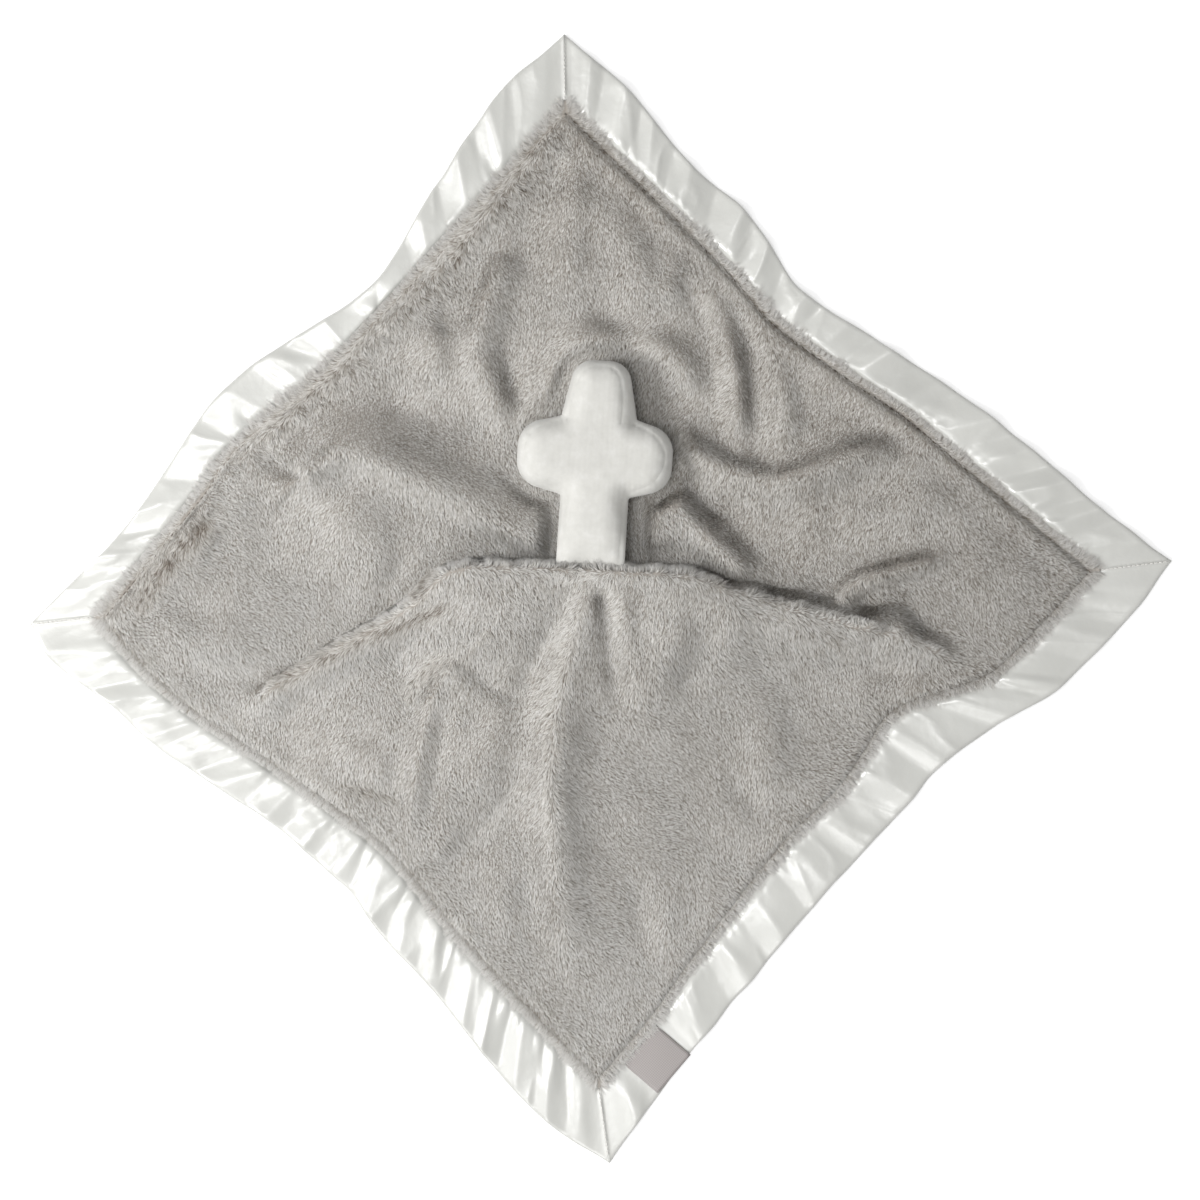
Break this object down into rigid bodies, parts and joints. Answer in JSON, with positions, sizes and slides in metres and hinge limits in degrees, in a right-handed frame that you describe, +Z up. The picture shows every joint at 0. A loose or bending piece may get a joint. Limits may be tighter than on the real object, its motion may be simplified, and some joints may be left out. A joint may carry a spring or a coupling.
{
  "type": "comfort blanket lovey",
  "caption": "Square plush security blanket with a folded satin border, a stuffed cross sewn at its middle and a seam label, laid out in soft folds.",
  "frame": {"origin": "on the table, under the middle of the outline's bounding box", "axes": "+Z up out of the plush face, +Y from the middle towards the corner that the cross's head points at, +X to the right corner"},
  "size_m": [0.57, 0.5635, 0.0321],
  "materials": {
    "plush": "matt grey long-pile plush",
    "plush_back": "matt grey short-pile plush",
    "satin": "glossy pearl white satin",
    "velour": "matt white velour",
    "fibre": "loose white polyester fibre",
    "woven_label": "bare taupe woven tape",
    "grey_thread": "matt grey polyester thread",
    "white_thread": "white polyester thread"
  },
  "bodies": {
    "blanket": {"top_panel": "plush", "back_panel": "plush_back", "satin_upper_left": "satin", "satin_upper_right": "satin", "satin_lower_right": "satin", "satin_lower_left": "satin", "edge_stitching": "grey_thread", "mitre_seam_left": "white_thread", "mitre_seam_top": "white_thread", "mitre_seam_right": "white_thread", "mitre_seam_bottom": "white_thread", "anchor_seam": "grey_thread"},
    "cross": {"cross_front_panel": "velour", "cross_back_panel": "velour", "cross_gusset": "velour", "cross_stuffing": "fibre"},
    "label": {"label": "woven_label"}
  },
  "joints": [
    {"name": "cross_tilt", "type": "hinge", "parent": "blanket", "child": "cross", "pos_m": [-0.00424, 0.02137, 0.024], "axis": [0.9981, -0.061, 0], "range_deg": [0, 90]},
    {"name": "label_flip", "type": "hinge", "parent": "blanket", "child": "label", "pos_m": [0.01949, -0.22288, 0.0029], "axis": [-0.6496, -0.7603, 0], "range_deg": [0, 110]}
  ]
}
